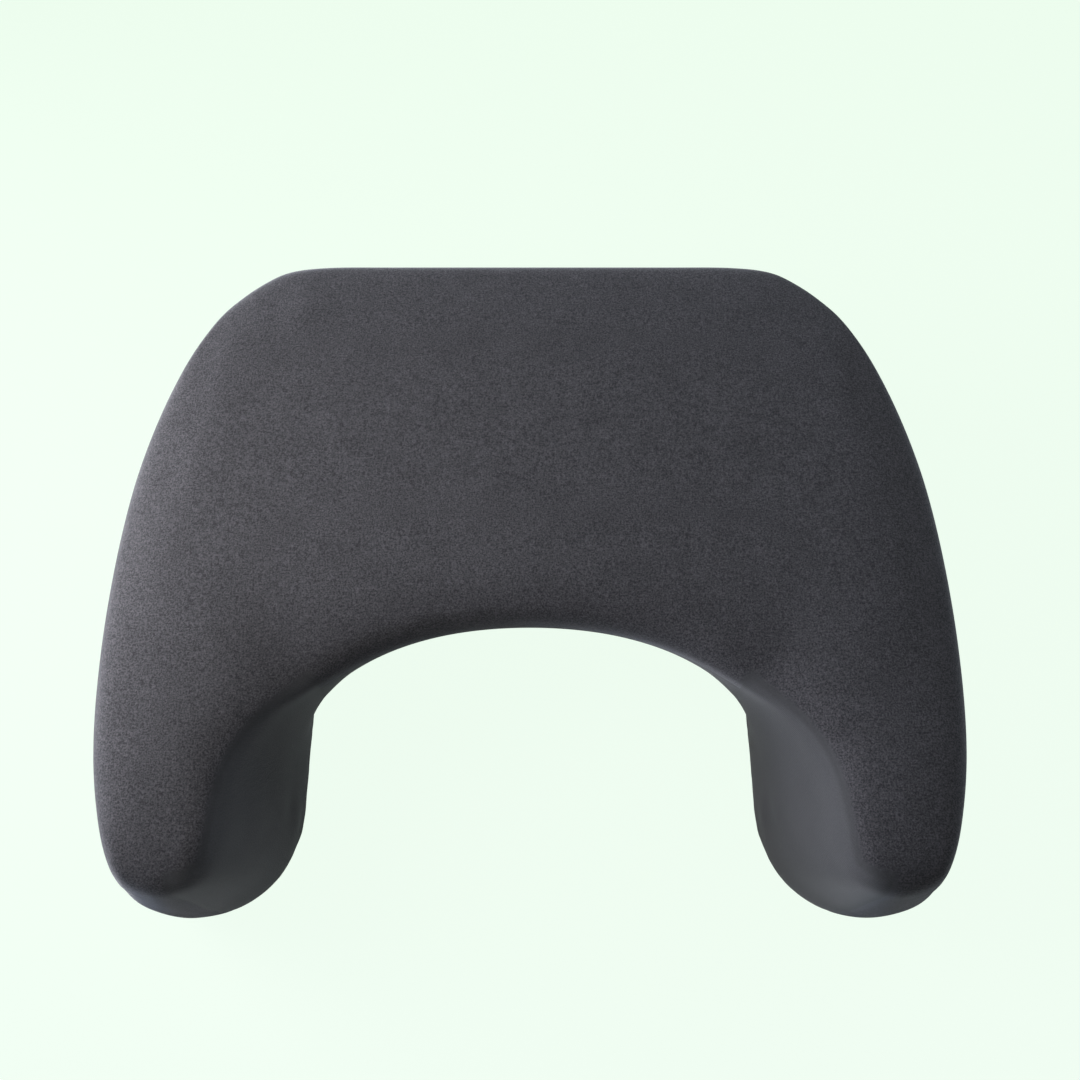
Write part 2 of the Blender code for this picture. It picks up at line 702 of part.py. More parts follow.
def main():
    """Builds the pillow."""
    parts, cutters = clear_scene()
    cloth = make_material("heather cloth", (0.075, 0.075, 0.085), 0.95)
    smooth_cloth = make_material("smooth cloth", (0.045, 0.045, 0.052), 0.85)
    knit = make_material("liner knit", (0.80, 0.80, 0.78), 0.9)
    foam = make_material("foam", (0.86, 0.82, 0.62), 0.95)
    tape = make_material("zip tape", (0.05, 0.05, 0.055), 0.9)
    nylon = make_material("zip nylon", (0.04, 0.04, 0.045), 0.45)
    metal = make_material("zip metal", (0.08, 0.08, 0.085), 0.35, 0.8)
    skin = skin_mesh(cutters)
    make_core(skin, parts, foam)
    make_liner(skin, parts, knit)
    make_cover(skin, parts, cutters, cloth, smooth_cloth)
    make_zip(parts, cutters, tape, nylon, metal)
    skin.free()


main()
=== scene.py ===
"""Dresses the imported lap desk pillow: swollen cover panels, liner, foam body, zip and a pale studio."""

import json
import math

import bmesh
import bpy
from bpy.props import FloatProperty, FloatVectorProperty, PointerProperty
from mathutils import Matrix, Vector, noise
from mathutils.kdtree import KDTree

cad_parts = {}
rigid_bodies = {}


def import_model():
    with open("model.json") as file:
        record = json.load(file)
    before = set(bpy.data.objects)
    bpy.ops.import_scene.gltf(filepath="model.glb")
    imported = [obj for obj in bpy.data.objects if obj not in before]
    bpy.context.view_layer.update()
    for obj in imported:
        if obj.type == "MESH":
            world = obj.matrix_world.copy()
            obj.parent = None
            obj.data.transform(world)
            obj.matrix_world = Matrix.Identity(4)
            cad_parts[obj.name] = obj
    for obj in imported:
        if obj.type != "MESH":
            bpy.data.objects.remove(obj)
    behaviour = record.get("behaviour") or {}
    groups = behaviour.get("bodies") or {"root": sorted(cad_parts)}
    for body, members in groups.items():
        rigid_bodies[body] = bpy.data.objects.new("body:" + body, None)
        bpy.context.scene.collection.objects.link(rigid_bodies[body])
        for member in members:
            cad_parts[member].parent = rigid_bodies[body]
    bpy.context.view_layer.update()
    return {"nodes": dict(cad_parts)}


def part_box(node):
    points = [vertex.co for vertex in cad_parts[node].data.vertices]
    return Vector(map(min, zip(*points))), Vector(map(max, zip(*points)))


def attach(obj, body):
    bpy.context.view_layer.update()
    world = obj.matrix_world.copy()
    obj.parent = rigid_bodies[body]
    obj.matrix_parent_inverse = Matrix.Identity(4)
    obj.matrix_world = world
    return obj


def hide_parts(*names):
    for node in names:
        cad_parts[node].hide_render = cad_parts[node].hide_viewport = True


bl_info = {
    "name": "Lap desk pillow",
    "version": (1, 0, 0),
    "blender": (4, 5, 0),
    "location": "View3D > Sidebar > Lap desk pillow",
    "description": "Builds the soft cover, liner, foam and zip of a horseshoe lap desk pillow",
    "category": "Object",
}

for leftover in list(bpy.data.objects):
    bpy.data.objects.remove(leftover)
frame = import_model()

# Shape of the horseshoe in metres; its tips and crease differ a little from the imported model's
WIDEST_FROM_REAR = 0.259
REAR_STRAIGHT = 0.326
REAR_ROUNDNESS = 2.10
REAR_CORNER_EASE = 0.010
TIP_CURVE_WIDTH = 0.066
TIP_ROUNDNESS = 2.7
TIP_CORNER_INSET = 0.0235
TIP_CORNER_RISE = 0.0155
TIP_SHOULDER = 0.004
TIP_ROLL = 0.001
TIP_BELLIES = ((0.007, -0.007, 0), (0.008, -0.008, 0), (0.006, -0.006, 0), (0, 0.0015, 0))
TUNNEL_ROUNDNESS = 3.4
CREASE_ROUNDNESS = 2.05
EDGE_INSET = 0.004
CROWN_DROP = 0.006
JUNCTION_DROP = 0.010
JUNCTION_SPREAD = 0.010
JUNCTION_STEPS = 3
BASE_TUCK = 0.008
NOSE_TUCK = 0.010
CREASE_END = 0.012
CREASE_FLARE = 0.001
CREASE_BELLIES = (0.006, 0.008, 0.005)
BASE_END = 0.026
BASE_FLARE = 0.013

# Cells of the horseshoe: columns across deck and leg, rows along deck and arm, levels up
DECK_COLUMNS = 3
LEG_COLUMNS = 3
DECK_ROWS = 3
ARM_ROWS = 4
LEVELS = 4
VAULT_LEVEL = 2
COLUMNS = DECK_COLUMNS + LEG_COLUMNS
ROWS = DECK_ROWS + ARM_ROWS
REAR_ANGLES = (36, 52, 70, 88)
FRONT_ANGLES = (10, 24, 40)
REAR_EASE_SHARES = (1.0, 0.4, 0.0, 0.0)
VAULT_ANGLES = (0, 12, 30, 54)
WALL_ANGLE = 78
CREASE_SHARES = (0.0, 0.28, 0.53, 0.735, 0.84, 0.93, 0.985)
LEG_SHARES = (0.0, 0.30, 0.70, 1.0)
TIP_SHARES = (0.0, 0.36, 0.78, 1.0)
WALL_SHARES = (0.0, 0.10, 0.32, 0.72, 1.0)
LEVEL_SHARES = (0.0, 0.33, 0.68, 1.0)
REGIONS = ("top", "side", "rear", "arm_inner", "tunnel", "foot")
INNER_SEAMS = (
    {"top", "arm_inner"}, {"top", "tunnel"}, {"arm_inner", "tunnel"}, {"arm_inner", "side"})
SAME_POINT = 0.00001
CAGE_LEVELS = 1
SKIN_LEVELS = 2
FIT_ROUNDS = 5

# Swelling: how the skin starts, is simulated, smoothed and kept flat at the floor and the zip
SEAM_START_SHARE = 0.25
START_EASE = 0.02
CLOTH_QUALITY = 4
CLOTH_FRAMES = 20
SMOOTH_PASSES = 3
SMOOTH_FACTOR = 0.35
ON_FLOOR = 0.0005
FLOOR_EASE = 0.012
CALM_HEIGHT = 0.014
CALM_END = 0.005
SWELL_CALM = 0.030
SEAM_CALM = 0.008

# Seams: where their dips and gathers fade, in seam reaches, and the strip beside a flat one, where the
# heather blends into plain cloth under painted crease shade
FADE_REACHES = 8
FADE_START = 0.2
DIP_POWER = 1.5
GATHER_SCALE = 130
GATHER_REACHES = 3.5
BLEND_AND_SHADE_START = 0.0005
BLEND_AND_SHADE_WIDTH = 0.0045

# Slot of the zip in the rear seam, and the groove that the slider runs in under it
SLOT_OPENING = 0.0062
SLOT_TAPER = 0.008
SLOT_ROOM = 0.014
SLOT_RUNOUT = 0.030
SLOT_MARGIN = 0.002
SLOT_SKIN = 0.004
LIP_TUCK = 0.0004
GROOVE_DEPTH = 0.0045
GROOVE_HALF_HEIGHT = 0.013
GROOVE_RUNOUT = 0.02
GROOVE_SKIN = 0.012

# Layers under the cover
FOAM_DEPTH = 0.0031
LINER_DEPTH = 0.0019
LINER_THICKNESS = 0.0007

# Zip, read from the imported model's own nodes
TAPE_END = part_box("zip_tape_upper")[1].x
STOP_LOW, STOP_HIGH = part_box("zip_bottom_stop")
SEAM_Z = (STOP_LOW.z + STOP_HIGH.z) / 2
CHAIN_Y = (STOP_LOW.y + STOP_HIGH.y) / 2

# Tapes, teeth and metal parts of the zip; heights from the middle of the chain
TAPE_COLUMNS = 140
TAPE_ROWS = 6
TAPE_SHARE = 0.8
WAVE_HEIGHT = 0.00006
WAVES_ALONG = 30
WAVES_ACROSS = 2
WAVE_LAYER = 3
TOOTH_PITCH = 0.0032
TOOTH_RADIUS = 0.00018
TOOTH_TIP = 0.0009
BEAD_BACK = 0.0026
BEAD_FRONT = 0.0014
BEAD_SHARE = 0.7
HEAD_WIDTH_SHARE = 0.20
NECK_WIDTH_SHARE = 0.15
NECK_DEPTH_SHARE = 0.9
TOP_STOP_RADIUS = 0.0003
METAL_PARTS = (
    ("zip_bottom_stop", 0.0004, "pillow"),
    ("zip_slider", 0.00016, "slider"),
    ("zip_pull", 0.00025, "pull"),
)

# Angles between faces in degrees: below the first they merge, past the second their edge is rounded,
# and past the others it is sharp
LEVEL_ANGLE = 1
ROUNDED_ANGLE = 25
METAL_ANGLE = 35
TOOTH_ANGLE = 40
CLOTH_ANGLE = 50

# Studio: name, place, size and colour of each lamp, then the camera and the floor
LAMPS = (
    ("key", (-0.50, -0.03, 0.51), 0.30, (1.0, 0.975, 0.96)),
    ("back", (0.4, 1.0, 0.6), 1.0, (0.80, 0.88, 1.0)),
    ("fill", (0.85, 0.05, 0.36), 0.8, (0.80, 0.88, 1.0)),
    ("edge", (-1.0, 0.3, 0.28), 0.5, (1.0, 0.98, 1.0)),
    ("low", (-2.20, 0.02, 0.64), 0.8, (0.50, 0.66, 1.0)),
)
LAMP_AIM = (0, 0, 0.08)
LAMP_SPREAD = 110
CAMERA_PLACE = (0, -0.2865, 0.854)
CAMERA_TILT = 22.5
CAMERA_SHIFT = 10 / 1080
CLIP_START = 0.05
FLOOR_SIZE = 15
FLOOR_DROP = 0.0002
FLOOR_BASE = (0.70, 0.69, 0.67)
FLOOR_ROUGHNESS = 0.9
FLOOR_NEAR = 0.6
FLOOR_FADE = 0.8
FLOOR_FAR_TONE = (0.95, 0.99, 0.94)
FLOOR_GLOW = 1.04
GLOW_SHARE = 0.94

# Sheen of both cloths of the cover
SHEEN = {"Sheen_Roughness": 0.42, "Sheen_Tint": (0.80, 0.82, 0.88)}


def measured(name, default, description, unit="LENGTH"):
    """A number that a user can change, in metres unless told otherwise."""
    return FloatProperty(name=name, description=description, default=default, unit=unit)


def coloured(name, default, description):
    """A colour that a user can change."""
    return FloatVectorProperty(
        name=name, description=description, subtype="COLOR", size=3, default=default)


class PillowForm(bpy.types.PropertyGroup):
    """Sizes of the pillow and how its cover sits."""
    width: measured("Width", 0.550, "Across both arms")
    depth: measured("Depth", 0.441, "From arm tips to rear")
    height: measured("Height", 0.160, "Of the deck")
    deck_depth: measured("Deck depth", 0.268, "Rear to the rim")
    deck_thickness: measured("Deck thickness", 0.060, "Over the thighs")
    tunnel_width: measured("Tunnel width", 0.316, "Between the two feet")
    belly_gap: measured("Belly gap", 0.371, "Between the inner edges of the top")
    crease_length: measured("Crease length", 0.138, "Depth of the arched inner edge")
    edge_round: measured("Edge rounding", 0.032, "Width of the rounded rear and front edge")
    start_inset: measured("Start inset", 0.0010, "How much smaller the skin is before it swells")
    swell_cap: measured("Swell cap", 0.0016, "Furthest that a point of the cover may move")
    loose_tip: measured("Loose tip", 0.030, "How near the inner seams the outer ones stop being held")
    pressure: measured("Pressure", 4.0, "Of the filling on the cover", unit="NONE")
    cloth: measured("Cloth", 0.0013, "Thickness of the cover's cloth")
    seam_depth: measured("Seam depth", 0.0005, "How deep a seam is drawn in")
    flat_seam_depth: measured("Flat seam depth", 0.00018, "The same for the seams of the inner faces")
    seam_reach: measured("Seam reach", 0.0040, "How far from a seam the cloth dips")
    pucker: measured("Pucker", 0.00025, "Height of the small gathers beside a seam")


class PillowFinish(bpy.types.PropertyGroup):
    """Colours of the pillow."""
    heather_dark: coloured("Heather dark", (0.030, 0.030, 0.033), "Dark fibres of the top cloth")
    heather_light: coloured("Heather light", (0.125, 0.120, 0.128), "Light fibres of the top cloth")
    smooth_cloth: coloured("Smooth cloth", (0.086, 0.086, 0.090), "Cloth of the inner faces")
    liner: coloured("Liner", (0.70, 0.70, 0.67), "Knit liner under the cover")
    foam: coloured("Foam", (0.80, 0.74, 0.52), "Moulded foam body")
    tape: coloured("Zip tape", (0.022, 0.022, 0.025), "Woven tape and teeth of the zip")
    metal: coloured("Zip metal", (0.060, 0.060, 0.065), "Slider, pull and stops")


class StudioLook(bpy.types.PropertyGroup):
    """Floor, lamps and camera."""
    floor: coloured("Floor", (0.89, 0.993, 0.907), "Colour of floor and backdrop")
    surround: coloured("Surround", (0.90, 0.90, 0.98), "Colour of the even light from all sides")
    key: measured("Key light", 0.84, "Lamp close by on the left", unit="POWER")
    fill: measured("Fill light", 0.33, "Soft lamp on the right", unit="POWER")
    back: measured("Back light", 1.9, "Lamp from behind", unit="POWER")
    edge: measured("Edge light", 5.5, "Low lamp far to the left", unit="POWER")
    low: measured("Low light", 6.2, "Wide lamp furthest to the left", unit="POWER")
    around: measured("Surround strength", 0.105, "Of the even light", unit="NONE")
    lens: measured("Lens", 39.1, "Focal length in mm", unit="CAMERA")


# Skin of the pillow


def rounded(half_x, half_y, power, angle):
    """Point on a quarter of a superellipse, from its Y axis at 0 degrees to its X axis at 90."""
    turn = math.radians(angle)
    return half_x * math.sin(turn) ** (2 / power), half_y * math.cos(turn) ** (2 / power)


class Horseshoe:
    """Places of the corners of the cells that the pillow's right half is made of."""

    def __init__(self, form):
        self.form = form
        self.rear = form.depth / 2
        self.front = -form.depth / 2
        self.rim = self.rear - form.deck_depth
        self.widest = self.rear - WIDEST_FROM_REAR

    def outline(self, row, share=1.0):
        """Outer outline in plan where a row meets it; a share below 1 lies nearer the middle."""
        half = self.form.width / 2
        if row <= DECK_ROWS:
            centre = REAR_STRAIGHT / 2
            x, y = rounded(half - centre, self.rear - self.widest, REAR_ROUNDNESS, REAR_ANGLES[row] * share)
            drawn_in = REAR_CORNER_EASE * share * REAR_EASE_SHARES[row]
            return Vector((centre + x, self.widest + y, 0)) - Vector((x, y, 0)).normalized() * drawn_in
        if row == ROWS:
            return Vector((half - TIP_CORNER_INSET, self.front + TIP_CORNER_RISE, 0))
        angle = FRONT_ANGLES[row - DECK_ROWS - 1]
        y, x = rounded(self.widest - self.front, TIP_CURVE_WIDTH, TIP_ROUNDNESS, angle)
        return Vector((half - TIP_CURVE_WIDTH + x, self.widest - y, 0))

    def crease(self, share):
        """Inner edge of the top in plan: 0 at the middle of the rim, 1 where an arm runs straight."""
        y = self.form.crease_length * (1 - share ** CREASE_ROUNDNESS) ** (1 / CREASE_ROUNDNESS)
        return Vector((self.form.belly_gap / 2 * share, self.rim - self.form.crease_length + y, 0))

    def deck(self, column, row):
        """Plan point on the deck's top, out to the line between deck and leg."""
        share = column / DECK_COLUMNS
        if row <= 1:
            return Vector((REAR_STRAIGHT / 2 * share, self.rear - self.form.edge_round * row, 0))
        rim = self.crease(CREASE_SHARES[column])
        if row < DECK_ROWS:
            return rim + Vector((JUNCTION_SPREAD * share, self.form.edge_round, 0))
        return rim

    def inner_top(self, row):
        """Plan point of the leg's inner edge on the top."""
        if row <= DECK_ROWS:
            return self.deck(DECK_COLUMNS, row)
        if row < ROWS:
            return self.crease(CREASE_SHARES[row]) + Vector((CREASE_BELLIES[row - DECK_ROWS - 1], 0, 0))
        return Vector((self.form.belly_gap / 2 + CREASE_FLARE, self.front + CREASE_END, 0))

    def inner_base(self, row):
        """Plan point of the leg's inner edge on the base."""
        half = self.form.tunnel_width / 2
        if row == ROWS:
            return Vector((half + BASE_FLARE, self.front + BASE_END, 0))
        tuck = BASE_TUCK / 2 if row == 0 else 0
        return Vector((half, self.inner_top(row).y - tuck, 0))

    def across(self, column, row):
        """How far across a leg a column stands, from its inner edge at 0 to its outer edge at 1."""
        return (TIP_SHARES if row == ROWS else LEG_SHARES)[column - DECK_COLUMNS]

    def top_plan(self, column, row):
        """Plan point on the top."""
        if column <= DECK_COLUMNS:
            return self.deck(column, row) if row <= DECK_ROWS else self.inner_top(row)
        share = self.across(column, row)
        if row == 0:
            return self.outline(row, share)
        point = self.inner_top(row).lerp(self.outline(row), share)
        if row == ROWS and column < COLUMNS:
            point.y = self.front + (TIP_SHOULDER if column == COLUMNS - 1 else 0)
        return point

    def base_plan(self, column, row):
        """Plan point on the base, drawn in a little under the wall above it."""
        inner = self.inner_base(row)
        above = self.top_plan(column, row)
        if column == COLUMNS:
            return above + (inner - above).normalized() * BASE_TUCK
        if row == 0:
            return above - Vector((0, BASE_TUCK / 2, 0))
        point = inner.lerp(self.base_plan(COLUMNS, row), self.across(column, row))
        if row == ROWS:
            point.y = self.front + BASE_TUCK / 2
        return point

    def top(self, column, row):
        """Corner on the top: level over the middle, lower and drawn in along the edges."""
        point = self.top_plan(column, row)
        outer = column == COLUMNS or row == ROWS
        rim = row == DECK_ROWS and column <= DECK_COLUMNS or row > DECK_ROWS and column == DECK_COLUMNS
        if outer:
            middle = self.inner_top(row).lerp(self.outline(row), 0.5)
            point += (middle - point).normalized() * EDGE_INSET
        if row == ROWS:
            point.y += TIP_ROLL
        point.z = self.form.height - (CROWN_DROP if outer or rim or row == 0 else 0)
        if rim:
            away = abs(row - DECK_ROWS) + abs(column - DECK_COLUMNS)
            point.z -= JUNCTION_DROP / 2 ** away if away < JUNCTION_STEPS else 0
        return point

    def corner(self, column, row, level):
        """Any corner of the cells."""
        if level == LEVELS:
            return self.top(column, row)
        height = SEAM_Z * LEVEL_SHARES[level]
        on_deck = column < DECK_COLUMNS or column == DECK_COLUMNS and row <= DECK_ROWS
        if on_deck and level == LEVELS - 1:
            return self.top_plan(column, row) + Vector((0, 0, height))
        if on_deck and level == 0:
            return self.inner_base(row)
        if on_deck:
            angle = VAULT_ANGLES[column] if level == VAULT_LEVEL else WALL_ANGLE
            tunnel_height = self.form.height - self.form.deck_thickness
            x, z = rounded(self.form.tunnel_width / 2, tunnel_height, TUNNEL_ROUNDNESS, angle)
            tuck = NOSE_TUCK if row == DECK_ROWS and level == VAULT_LEVEL else 0
            return Vector((x, self.top_plan(column, row).y + tuck, z))
        if column == DECK_COLUMNS:
            point = self.inner_base(row).lerp(self.top_plan(column, row), WALL_SHARES[level])
        elif level == 0:
            point = self.base_plan(column, row)
        else:
            point = self.top_plan(column, row)
        if row == ROWS and column >= COLUMNS - 1:
            point += Vector(TIP_BELLIES[level]) * (1 if column == COLUMNS else 0.5)
        point.z = height
        return point


def is_filled(column, row, level):
    """Whether a cell is filled: the legs all the way up, the deck above the tunnel."""
    inside = 0 <= column < COLUMNS and 0 <= row < ROWS and 0 <= level < LEVELS
    return inside and (column >= DECK_COLUMNS or row < DECK_ROWS and level >= VAULT_LEVEL)


def region_of(cell, axis, sign):
    """Which panel of the cover a face of a cell belongs to."""
    column, row, level = cell
    if axis == 2:
        return "top" if sign > 0 else ("foot" if level == 0 else "tunnel")
    if axis == 0 and sign < 0:
        return "tunnel" if row < DECK_ROWS else "arm_inner"
    if axis == 1 and sign > 0 and row == DECK_ROWS - 1:
        return "top" if level == LEVELS - 1 else "tunnel"
    if axis == 1 and sign > 0 and column == DECK_COLUMNS:
        return "arm_inner"
    if level == LEVELS - 1:
        return "top"
    return "rear" if axis == 1 and sign < 0 else "side"


def new_object(name, bm):
    """Turns a bmesh into an object of the scene, with its place in its mesh."""
    mesh = bpy.data.meshes.new(name)
    bm.to_mesh(mesh)
    bm.free()
    made = bpy.data.objects.new(name, mesh)
    bpy.context.scene.collection.objects.link(made)
    return made


def evaluated_bmesh(made):
    """A bmesh of an object with its modifiers applied; the object goes away."""
    depsgraph = bpy.context.evaluated_depsgraph_get()
    bm = bmesh.new()
    bm.from_mesh(made.evaluated_get(depsgraph).to_mesh())
    bpy.data.objects.remove(made)
    bm.normal_update()
    return bm


def subdivided(name, bm, levels):
    """The Catmull-Clark subdivision of a bmesh, as a new bmesh; the first one is used up."""
    made = new_object(name, bm)
    for _ in REGIONS:
        made.data.materials.append(None)
    soften = made.modifiers.new("soften", "SUBSURF")
    soften.levels = levels
    soften.render_levels = levels
    soften.use_limit_surface = False
    return evaluated_bmesh(made)


def fitted(bm):
    """Moves the vertices so that the smooth surface over them passes through where they were."""
    goals = [vert.co.copy() for vert in bm.verts]
    for _ in range(FIT_ROUNDS):
        smooth = subdivided("fit", bm.copy(), SKIN_LEVELS)
        smooth.verts.ensure_lookup_table()
        for vert, goal in zip(bm.verts, goals):
            vert.co += goal - smooth.verts[vert.index].co
        smooth.free()
    return bm


def make_skin(form):
    """The pillow's outer skin, one closed mesh whose faces carry the number of their panel."""
    shape = Horseshoe(form)
    bm = bmesh.new()
    cells = [(c, r, k) for c in range(COLUMNS) for r in range(ROWS) for k in range(LEVELS)]
    hidden = []
    for cell in filter(lambda each: is_filled(*each), cells):
        block = bmesh.ops.create_cube(bm, size=2)["verts"]
        # A dict keeps the faces in order, so every run makes the same mesh
        for face in dict.fromkeys(face for vert in block for face in vert.link_faces):
            middle = face.calc_center_median()
            axis = max(range(3), key=lambda k: abs(middle[k]))
            sign = 1 if middle[axis] > 0 else -1
            beside = list(cell)
            beside[axis] += sign
            if is_filled(*beside) or axis == 0 and beside[0] < 0:
                hidden.append(face)
            face.material_index = REGIONS.index(region_of(cell, axis, sign))
        for vert in block:
            vert.co = shape.corner(*[k + (c > 0) for k, c in zip(cell, vert.co)])
    bmesh.ops.delete(bm, geom=hidden, context="FACES")
    bmesh.ops.remove_doubles(bm, verts=bm.verts, dist=SAME_POINT)
    bmesh.ops.mirror(bm, geom=bm.verts[:] + bm.edges[:] + bm.faces[:], axis="X", merge_dist=SAME_POINT)
    bmesh.ops.remove_doubles(bm, verts=bm.verts, dist=SAME_POINT)
    bmesh.ops.recalc_face_normals(bm, faces=bm.faces)
    model = subdivided("model", bm, CAGE_LEVELS)
    return subdivided("skin", fitted(model), SKIN_LEVELS)


def seam_points(bm, inner):
    """The vertices on the flat seams of the inner faces, or on the other seams."""
    sewn = set()
    for edge in bm.edges:
        pair = {REGIONS[face.material_index] for face in edge.link_faces}
        if len(pair) > 1 and (pair in INNER_SEAMS) == inner:
            sewn.update(edge.verts)
    return sewn


def tree_of(places):
    """A search tree of numbered places."""
    tree = KDTree(len(places))
    for number, place in enumerate(places):
        tree.insert(place, number)
    tree.balance()
    return tree


def seam_distances(bm, sewn):
    """How far each vertex is from the nearest of the sewn vertices or of the edges between them."""
    places = [vert.co.copy() for vert in sewn]
    for edge in bm.edges:
        if edge.verts[0] in sewn and edge.verts[1] in sewn:
            places.append((edge.verts[0].co + edge.verts[1].co) / 2)
    tree = tree_of(places)
    return [tree.find(vert.co)[2] for vert in bm.verts]


def ease(value):
    """A soft step from 0 to 1."""
    value = max(0.0, min(1.0, value))
    return value * value * (3 - 2 * value)


def near_zip(point, form, reach):
    """1 at the zip, falling to 0 at some reach above and below it and past its ends."""
    if point.y < form.depth / 2 - reach:
        return 0.0
    across = 1 - ease((abs(point.z - SEAM_Z) - CALM_HEIGHT) / reach)
    along = 1 - ease((abs(point.x) - TAPE_END + CALM_END) / (2 * reach))
    return across * along


def swell(bm, form):
    """Blows the skin up as cloth that is held at its seams, with each point's way capped."""
    rest = [vert.co.copy() for vert in bm.verts]
    outwards = [vert.normal.copy() for vert in bm.verts]
    bm.verts.index_update()
    beside = seam_distances(bm, seam_points(bm, inner=True))
    held = {vert for vert in seam_points(bm, inner=False) if beside[vert.index] > form.loose_tip}
    distance = seam_distances(bm, held)
    for vert, away in zip(bm.verts, distance):
        share = SEAM_START_SHARE + (1 - SEAM_START_SHARE) * ease(away / START_EASE)
        vert.co -= vert.normal * form.start_inset * share
    start = [vert.co.copy() for vert in bm.verts]
    moved = simulate(bm, sorted(vert.index for vert in held), form.pressure)
    for index, vert in enumerate(bm.verts):
        step = moved[index] - start[index]
        step -= outwards[index] * min(0.0, step.dot(outwards[index]))
        if step.length > form.swell_cap:
            step *= form.swell_cap / step.length
        vert.co = start[index] + step
    free = [vert for vert, away in zip(bm.verts, distance) if away > form.seam_reach]
    for _ in range(SMOOTH_PASSES):
        bmesh.ops.smooth_vert(
            bm, verts=free, factor=SMOOTH_FACTOR, use_axis_x=True, use_axis_y=True, use_axis_z=True)
    for index, vert in enumerate(bm.verts):
        vert.co = vert.co.lerp(rest[index], near_zip(rest[index], form, SWELL_CALM))
        vert.co.z = max(vert.co.z, 0.0)
        if rest[index].z < ON_FLOOR:
            vert.co.z *= ease(1 - distance[index] / FLOOR_EASE)
    bm.normal_update()


def simulate(bm, sewn, pressure):
    """The places of the skin's points after some frames of cloth under pressure."""
    puff = new_object("puff", bm.copy())
    puff.vertex_groups.new(name="held").add(sewn, 1.0, "ADD")
    cloth = puff.modifiers.new("cloth", "CLOTH")
    cloth.settings.use_pressure = True
    cloth.settings.uniform_pressure_force = pressure
    cloth.settings.effector_weights.gravity = 0
    cloth.settings.vertex_group_mass = "held"
    cloth.settings.quality = CLOTH_QUALITY
    cloth.point_cache.frame_start = 1
    cloth.point_cache.frame_end = CLOTH_FRAMES
    scene = bpy.context.scene
    for number in range(1, CLOTH_FRAMES + 1):
        scene.frame_set(number)
    depsgraph = bpy.context.evaluated_depsgraph_get()
    places = [vert.co.copy() for vert in puff.evaluated_get(depsgraph).data.vertices]
    bpy.data.objects.remove(puff)
    scene.frame_set(1)
    return places


def shade_smooth(bm):
    """Gives all faces smooth shading and the first material."""
    for face in bm.faces:
        face.material_index = 0
        face.smooth = True


def keep_region(bm, regions, side=0):
    """A copy of the skin with the faces of some panels left, on one side where a side is given."""
    wanted = {REGIONS.index(each) for each in regions}
    panel = bm.copy()
    gone = []
    for face in panel.faces:
        if face.material_index not in wanted or face.calc_center_median().x * side < 0:
            gone.append(face)
    bmesh.ops.delete(panel, geom=gone, context="FACES")
    shade_smooth(panel)
    return panel


def draw_in_seams(bm, form):
    """Dips the cloth along the seams, with small gathers beside them."""
    outer = seam_distances(bm, seam_points(bm, inner=False))
    flat = seam_distances(bm, seam_points(bm, inner=True))
    fade = bm.verts.layers.float.new("fade")
    reach = form.seam_reach
    for vert, away, beside in zip(bm.verts, outer, flat):
        fading = ease(beside / (FADE_REACHES * reach) - FADE_START)
        dip = form.seam_depth * fading * (1 - ease(away / reach)) ** DIP_POWER
        dip += form.flat_seam_depth * (1 - ease(beside / reach)) ** DIP_POWER
        ripple = noise.noise(vert.co * GATHER_SCALE) * form.pucker * fading
        ripple *= 1 - ease(away / (GATHER_REACHES * reach))
        # The fade layer marks the strip beside the inner seams: there the heather blends into plain cloth,
        # and both cloths are darkened there as painted shade of the crease
        vert[fade] = 1 - ease((beside - BLEND_AND_SHADE_START) / BLEND_AND_SHADE_WIDTH)
        if vert.co.z > ON_FLOOR:
            vert.co += vert.normal * (ripple - dip) * (1 - near_zip(vert.co, form, SEAM_CALM))
    bm.normal_update()


def open_for_zip(bm, form):
    """Levels the rear seam with the zip and says how far each of its points parts into two lips."""
    end = TAPE_END - SLOT_MARGIN
    rear = form.depth / 2 - SLOT_SKIN
    line = []
    for vert in seam_points(bm, inner=False):
        if vert.co.y > rear and abs(vert.co.z - SEAM_Z) < SLOT_SKIN and abs(vert.co.x) < end + SLOT_RUNOUT:
            line.append((vert.co.x, vert.co.z))
    line.sort()
    parted = {}
    for vert in bm.verts:
        beyond = abs(vert.co.x) - end
        if vert.co.y < rear or beyond > SLOT_RUNOUT:
            continue
        sewn_at = min(line, key=lambda place: abs(place[0] - vert.co.x))[1]
        above = vert.co.z - sewn_at
        share = abs(above) / SLOT_ROOM
        if share > 1:
            continue
        wide = SLOT_OPENING * ease(-beyond / SLOT_TAPER)
        vert.co.z += (SEAM_Z - sewn_at) * (1 - share) * ease(1 - beyond / SLOT_RUNOUT)
        if abs(above) > SAME_POINT:
            vert.co.z += math.copysign(wide * (1 - share), above)
        elif wide > 0:
            parted[vert.index] = wide
    return parted


def walled(made, name, thickness, offset=-1, even=False):
    """Gives a piece a wall, inwards unless told otherwise."""
    wall = made.modifiers.new(name, "SOLIDIFY")
    wall.thickness = thickness
    wall.offset = offset
    wall.use_even_offset = even
    return made


